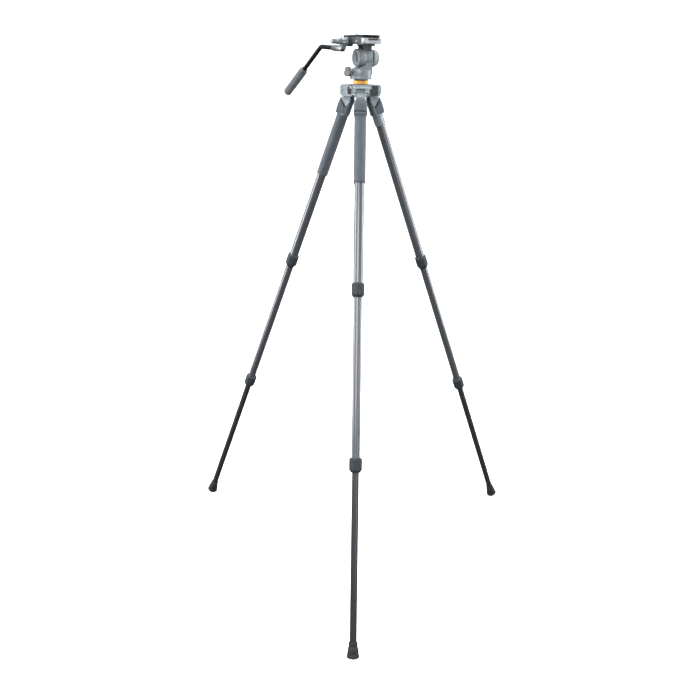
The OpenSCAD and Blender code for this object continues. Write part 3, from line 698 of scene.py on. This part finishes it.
for k, leg in enumerate(LEGS):
    dress(leg + "_casting", CASTING, 0.7, 3)
    angle_stop(leg + "_stop_cover", k, leg + "_stop", leg + "_angle_stop")
    # a dark strip of painted shade in the gap between the casting and the stop
    painted_gap_shade(leg + "_painted_gap_shade", k, leg + "_leg")
    pocket_floor(leg + "_pocket_floor", k, leg + "_leg")
    dress(leg + "_middle_shim", SHIM, 0)
    dress(leg + "_lower_shim", SHIM, 0)
    leg_tube(leg + "_tube_a", UPPER_R, UPPER_R - WALL, TUBE_TOP, LOCK1 + 2, k, CARBON, leg + "_leg",
             leg + "_upper_tube")
    leg_tube(leg + "_tube_b", MIDDLE_R, MIDDLE_R - WALL - 0.05, LOCK1 - TUBE_OVERLAP, LOCK2 + 2, k, CARBON,
             leg + "_middle", leg + "_middle_tube")
    leg_tube(leg + "_tube_c", LOWER_R, LOWER_R - WALL, LOCK2 - TUBE_OVERLAP, FOOT_TOP + 5.9, k, CARBON_LOW,
             leg + "_lower", leg + "_lower_tube")
    twist_lock(leg + "_lock_a", k, LOCK1, UPPER_R, MIDDLE_R, leg + "_upper_twist", leg + "_upper_lock")
    twist_lock(leg + "_lock_b", k, LOCK2, MIDDLE_R, LOWER_R, leg + "_lower_twist", leg + "_lower_lock")
    rubber_boot(leg + "_boot", k, leg + "_lower", leg + "_foot")
    if leg != "right":
        leg_sleeve(leg + "_sleeve", k, leg + "_leg", leg + "_grip")
        grip_cuff(leg + "_cuff", k, leg + "_leg")


# ---------------------------------------------------------------- spider and column

dress("hinge_bolts", SPIDER, 0.4)
dress("spider", SPIDER, 0.9, 3)
dress("head_stud", STEEL, 0)
dress("column_tube", BLACK, 0.4)
dress("column_lock_knob", PLASTIC, 0.9, 3)
dress("column_hook", STEEL, 0.3)
dress("platform", DARK_ALLOY, 0.4)


# Half-width of a spider arm, and how far its dark cover and the lining of its notch stand out
ARM_SIDE = 22.7
COVER_OUT = 1.1
NOTCH_OUT = 0.35
SUNK = 0.02


def arm_outline(points):
    """Points given from the hinge pivot's height, in the arm's own X-Z plane."""
    return [(x, PIVOT_Z + z) for x, z in points]


def arm_cover(name, place):
    """Dark cover on the clockwise side of a spider arm."""
    outline = arm_outline([(18.0, -9.0), (20.0, -10.4), (33.0, -10.4), (36.0, -8.6), (41.0, -7.8),
                           (43.0, -6.0), (43.0, 17.0), (41.5, 18.8), (24.0, 18.8), (22.9, 17.6),
                           (22.9, 10.0), (18.0, 10.0)])
    plate(name, outline, -ARM_SIDE - COVER_OUT, -ARM_SIDE + SUNK, place, COVER, "spider", 0.5)


def arm_notch(name, place):
    """Dark lining of the notch on the other side of a spider arm."""
    outline = arm_outline([(16.4, -5.0), (27.4, -5.0), (28.6, -3.6), (28.6, 14.0), (26.6, 15.4),
                           (23.2, 15.4), (22.9, 10.0), (16.4, 10.0)])
    plate(name, outline, ARM_SIDE - SUNK, ARM_SIDE + NOTCH_OUT, place, PLASTIC, "spider", 0.15)


for k, leg in enumerate(LEGS):
    arm_place = turn(120 * k - 90, "Z")
    arm_cover(leg + "_arm_cover", arm_place)
    arm_notch(leg + "_arm_notch", arm_place)


def ring_knurl(angle, r, z):
    """Fine upright knurl round the middle of the coloured ring."""
    if r < 20.7 or not 2.0 < z - PLATFORM_Z < 7.8:
        return 0.0
    return -0.14 * (0.5 + 0.5 * math.cos(90 * angle))


def colour_ring():
    """The anodised ring between the spider and the head."""
    low, high = PLATFORM_Z + 0.2, PLATFORM_Z + 9.6
    outline = [(17.05, low), (19.8, low), (20.5, PLATFORM_Z + 0.6), (20.8, PLATFORM_Z + 1.3),
               (20.8, PLATFORM_Z + 8.5), (20.5, PLATFORM_Z + 9.2), (19.8, high), (17.05, high)]
    lathe("colour_ring", outline, Matrix.Identity(4), GOLD, "column", ("platform_ring",),
          360, ring_knurl, 0.8)


colour_ring()


# ---------------------------------------------------------------- head

def lever_painted_shade():
    """Dark strip along the upper part of the plate lever's outer face, from near the hub to near the tip. It is
    painted shade: the lever itself is bright all over.
    """
    face = ON_TILT @ shift(-26.0, -58.4, 0) @ turn(2.99, "Z")
    outline = [(11.0, 43.6), (43.0, 43.6), (44.4, 45.0), (44.4, 48.0), (11.0, 48.0)]
    plate("lever_painted_shade", outline, -0.3, 0.1, face, PLASTIC, "plate_lock", 0.12)


def drum_cap_trim():
    """Dark rim round the drum's cap, and the raised bar across it."""
    rim = [(21.1, -15.6), (22.6, -15.6), (22.95, -15.2), (22.95, -14.0), (21.1, -14.0)]
    lathe("drum_cap_rim", rim, ON_TILT @ ALONG_X, PLASTIC, "tilt", (), 96)
    bar = [(-1.9, -11.6), (1.9, -11.6), (3.1, -10.2), (3.1, 10.2), (1.9, 11.6), (-1.9, 11.6), (-3.1, 10.2),
           (-3.1, -10.2)]
    bar_place = ON_TILT @ turn(90, "Z") @ turn(12, "Y")
    plate("drum_cap_bar", bar, 14.35, 15.5, bar_place, PLASTIC, "tilt", 0.4)


dress("pan_base", CAST, 0.5)
dress("pan_housing", CAST, 0.9, 3)
dress("pan_lock_knob", DARK_SILVER, 0.9, 3)
dress("tilt_axle", STEEL, 0.3)
dress("tilt_drum", CAST, 0.7, 3)
dress("balance_spring", STEEL, 0)
dress("tilt_lock_lever", SILVER, 0.6)
dress("plate_clamp", CAST_DARK, 0.7, 3)
dress("camera_plate", BLACK, 0.45)
dress("plate_pad", PAD, 0.25)
dress("screw_slider", DARK_STEEL, 0.2)
dress("clamp_lever", BRIGHT, 0.8, 3)
# painted shade across the upper part of the bright lever
lever_painted_shade()
dress("safety_button", STEEL, 0.5)
dress("drum_cap", CAP, 0.3)
drum_cap_trim()
dress("handle_bracket", SILVER, 0.8, 3)


def knob_relief(angle, r, z):
    """Twenty finger grooves round the drag knob."""
    groove_from = 33.2
    if r < 18.4 or z < groove_from:
        return 0.0
    groove = (0.5 - 0.5 * math.cos(20 * angle)) ** 3
    fade = min(1.0, (z - groove_from) / 1.2)
    return -0.95 * groove * fade


def drag_dial():
    """The large grooved knob on the end of the tilt axle."""
    outline = [(5.1, 32.4), (19.6, 32.4), (20.6, 32.8), (21.0, 33.6), (21.0, 44.4), (20.7, 45.8),
               (19.8, 47.2), (18.6, 48.2), (17.0, 48.9), (15.4, 49.4), (14.0, 49.4), (13.6, 49.0),
               (13.2, 48.2), (12.4, 48.1), (11.6, 48.6), (10.8, 49.2), (8.0, 49.4), (0.0, 49.4),
               (0.0, 47.4), (5.1, 47.4)]
    lathe("drag_dial", outline, ON_TILT @ ALONG_X, KNOB, "drag", ("drag_knob",), 240,
          knob_relief, 1.5)


drag_dial()


def thread(pitch, depth, low, high):
    """A helical V thread between two heights."""
    def relief(angle, r, z):
        if not low < z < high:
            return 0.0
        turns = z / pitch - angle / TAU
        return -depth * abs(2 * (turns - math.floor(turns)) - 1)
    return relief


def quarter_inch_screw():
    """The camera screw: 1/4 inch across, twenty threads to the inch."""
    pitch, radius = 1.27, 3.175
    outline = [(0.0, -4.0), (5.6, -4.0), (6.2, -3.7), (6.4, -3.2), (6.4, -1.8), (6.0, -1.3), (2.7, -1.3),
               (2.7, 3.9), (radius, 4.1), (radius, 7.7), (2.5, 8.3), (0.0, 8.3)]
    lathe("quarter_inch_screw", outline, ON_TILT @ shift(0, 26, 53.7), STEEL, "screw",
          ("camera_screw",), 48, thread(pitch, 0.42, 4.0, 8.0), 0.1)


quarter_inch_screw()


def handle_knob_relief(angle, r, z):
    """Coarse grip ribs on the narrow end of the handle's knob, and a fine knurl on its wide part."""
    if r > 5.6 and z > 40.0:
        return -0.55 * (0.5 + 0.5 * math.cos(16 * angle))
    if r > 7.4 and 28.4 < z < 37.4:
        return -0.12 * (0.5 + 0.5 * math.cos(48 * angle))
    return 0.0


def handle_clamp_knob():
    """The knob and bolt that clamp the handle's bracket to its boss."""
    outline = [(0.0, 0.0), (2.6, 0.0), (3.0, 0.4), (3.0, 26.4), (7.4, 26.4), (8.0, 27.0), (8.0, 38.6),
               (7.4, 39.4), (6.2, 39.6), (5.9, 40.2), (6.4, 41.4), (6.4, 53.2), (6.0, 54.8), (4.8, 55.7),
               (3.0, 56.0), (0.0, 56.0)]
    place = ON_TILT @ shift(BOSS[0] + 8, BOSS[1], BOSS[2]) @ turn(-90, "Y")
    lathe("handle_clamp_knob", outline, place, SILVER, "handle_lock", ("handle_knob",), 144,
          handle_knob_relief, 1.0)


handle_clamp_knob()


# ---------------------------------------------------------------- handle

def handle_path():
    """Centre line of the tube in the tilt frame's Y-Z plane: a gentle rise, the bend, then the drop."""
    rise = math.radians(SLEEVE_RISE)
    drop = math.radians(HANDLE_DROP)
    bend = rise + drop
    radius = 30.0
    cut = radius * math.tan(bend / 2)
    start = 122.2
    path = []
    for i in range(9):
        s = -start + (start - cut) * i / 8
        path.append((BEND_Y + s * math.cos(rise), BEND_Z + s * math.sin(rise)))
    cy = BEND_Y - cut * math.cos(rise) + radius * math.sin(rise)
    cz = BEND_Z - cut * math.sin(rise) - radius * math.cos(rise)
    for i in range(1, 17):
        a = math.pi / 2 + rise - bend * i / 16
        path.append((cy + radius * math.cos(a), cz + radius * math.sin(a)))
    for i in range(1, 9):
        s = cut + (HANDLE_GRIP_START + 80 - cut) * i / 8
        path.append((BEND_Y + s * math.cos(drop), BEND_Z - s * math.sin(drop)))
    return path


sweep("handle_bar", handle_path(), HANDLE_R, ON_TILT @ shift(SLEEVE_X, 0, 0), BLACK, "handle",
      ("handle_tube",), 48)


def grip_relief(angle, r, z):
    """The slight unevenness of the foam between the grip's two ends."""
    if r < 11.0 or not 14.0 < z < HANDLE_GRIP_L - 14.0:
        return 0.0
    return 0.08 * math.sin(4 * angle + 0.2 * z) * math.sin(0.13 * z)


def handle_foam_grip():
    """Foam grip with a stepped collar at the bar and a round end."""
    r, length, bore_end = HANDLE_GRIP_R, HANDLE_GRIP_L, 80.2
    outline = [(HANDLE_R + 0.05, 0.0), (8.0, 0.0), (8.8, 0.4), (9.2, 1.2), (9.2, 5.6), (9.5, 6.6),
               (10.2, 7.6), (11.2, 8.6), (12.0, 10.0), (12.4, 12.0)]
    for i in range(1, 16):
        t = i / 16
        outline.append((r - 0.1 + 0.1 * math.sin(math.pi * t), 12 + (length - r - 12) * t))
    for i in range(12):
        a = math.pi / 2 * i / 12
        outline.append((r * math.cos(a), length - r + r * math.sin(a)))
    outline += [(0.0, length), (0.0, bore_end), (HANDLE_R + 0.05, bore_end)]
    place = HANDLE_LINE @ shift(0, 0, HANDLE_GRIP_START)
    piece = lathe("handle_foam_grip", outline, place, HANDLE_FOAM, "handle",
                  ("handle_grip",), 96, grip_relief)


handle_foam_grip()


# ---------------------------------------------------------------- floor, light and camera

def soft_sky():
    """An even pale light from above the horizon, and next to none from below it."""
    world = bpy.data.worlds.new("studio")
    world.use_nodes = True
    tree = world.node_tree
    coords = tree.nodes.new("ShaderNodeTexCoord")
    split = tree.nodes.new("ShaderNodeSeparateXYZ")
    ramp = tree.nodes.new("ShaderNodeValToRGB")
    ramp.color_ramp.elements[0].position = 0.0
    ramp.color_ramp.elements[0].color = (0.085, 0.092, 0.10, 1)
    ramp.color_ramp.elements[1].position = 0.35
    ramp.color_ramp.elements[1].color = (0.55, 0.57, 0.60, 1)
    tree.links.new(coords.outputs["Generated"], split.inputs[0])
    tree.links.new(split.outputs["Z"], ramp.inputs["Fac"])
    tree.links.new(ramp.outputs["Color"], tree.nodes["Background"].inputs["Color"])
    tree.nodes["Background"].inputs["Strength"].default_value = 0.8
    bpy.context.scene.world = world


def pale_floor():
    """A floor that curves up all round. Only the camera sees it, so the object's undersides stay dark."""
    look = Look("studio_floor", roughness=0.9, specular=0.1)
    tone = look.ramp(look.noise(3, 3), (0.3, 0.90), (0.7, 0.93))
    look.colour(tone)
    look.link(tone, look.shader.inputs["Emission Color"])
    look.shader.inputs["Emission Strength"].default_value = 0.75
    flat, curve, rise, segments = 4.0, 2.0, 7.0, 96
    arcs = [math.pi / 2 * i / 16 for i in range(17)]
    outline = [(flat + curve * math.sin(a), curve - curve * math.cos(a)) for a in arcs]
    outline.append((flat + curve, rise))
    verts, faces = [(0.0, 0.0, 0.0)], []
    for r, z in outline:
        for i in range(segments):
            a = TAU * i / segments
            verts.append((r * math.cos(a), r * math.sin(a), z))
    for i in range(segments):
        faces.append([0, 1 + i, 1 + (i + 1) % segments])
    for ring in range(len(outline) - 1):
        low, high = 1 + ring * segments, 1 + (ring + 1) * segments
        for i in range(segments):
            j = (i + 1) % segments
            faces.append([low + i, high + i, high + j, low + j])
    mesh = bpy.data.meshes.new("studio_floor")
    mesh.from_pydata(verts, [], faces)
    mesh.polygons.foreach_set("use_smooth", [True] * len(mesh.polygons))
    mesh.materials.append(look.material)
    floor = bpy.data.objects.new("studio_floor", mesh)
    bpy.context.scene.collection.objects.link(floor)
    floor.visible_diffuse = False
    floor.visible_glossy = False
    floor.visible_shadow = False


def soft_panels():
    """Large soft lights at both sides, above, in front and on the backdrop."""
    def panel(name, place, aim, width, height, power):
        light = bpy.data.lights.new(name, "AREA")
        light.shape = "RECTANGLE"
        light.size = width
        light.size_y = height
        light.energy = power
        lamp = bpy.data.objects.new(name, light)
        lamp.location = place
        lamp.rotation_euler = (Vector(aim) - Vector(place)).to_track_quat("-Z", "Y").to_euler()
        bpy.context.scene.collection.objects.link(lamp)

    panel("left_panel", (-2.5, 0.0, 1.5), (0, 0, 1.0), 1.1, 2.8, 80)
    panel("right_panel", (2.5, 0.4, 1.6), (0, 0, 1.0), 1.1, 2.8, 72)
    panel("top_panel", (-0.3, -0.4, 3.7), (0, 0, 0.8), 2.2, 2.2, 75)
    panel("front_panel", (-1.0, -3.2, 2.4), (0, 0, 1.1), 2.2, 1.6, 72)
    panel("near_right_panel", (1.35, -1.55, 0.95), (0.22, 0, 0.9), 0.35, 1.5, 9)
    panel("backdrop_panel", (0.0, 2.0, 4.6), (0, 6.0, 0.6), 5.0, 1.5, 200)


def photo_camera():
    """The photograph's viewpoint: a little left of the column, level with the head and looking down."""
    yaw, pitch, roll = 0.00558, 0.3385, -0.0162
    forward = Vector((math.sin(yaw) * math.cos(pitch), math.cos(yaw) * math.cos(pitch), -math.sin(pitch)))
    right = Vector((math.cos(yaw), -math.sin(yaw), 0))
    up = right.cross(forward)
    side = right * math.cos(roll) - up * math.sin(roll)
    top = right * math.sin(roll) + up * math.cos(roll)
    camera = bpy.data.objects.new("camera", bpy.data.cameras.new("camera"))
    camera.data.lens = 41.95
    camera.data.sensor_width = 36.0
    basis = Matrix((side, top, -forward)).transposed().to_4x4()
    camera.matrix_world = Matrix.Translation((-0.03083, -2.37058, 1.49772)) @ basis
    bpy.context.scene.collection.objects.link(camera)
    bpy.context.scene.camera = camera


pale_floor()
soft_sky()
soft_panels()
photo_camera()
bpy.context.scene.view_settings.view_transform = "Standard"
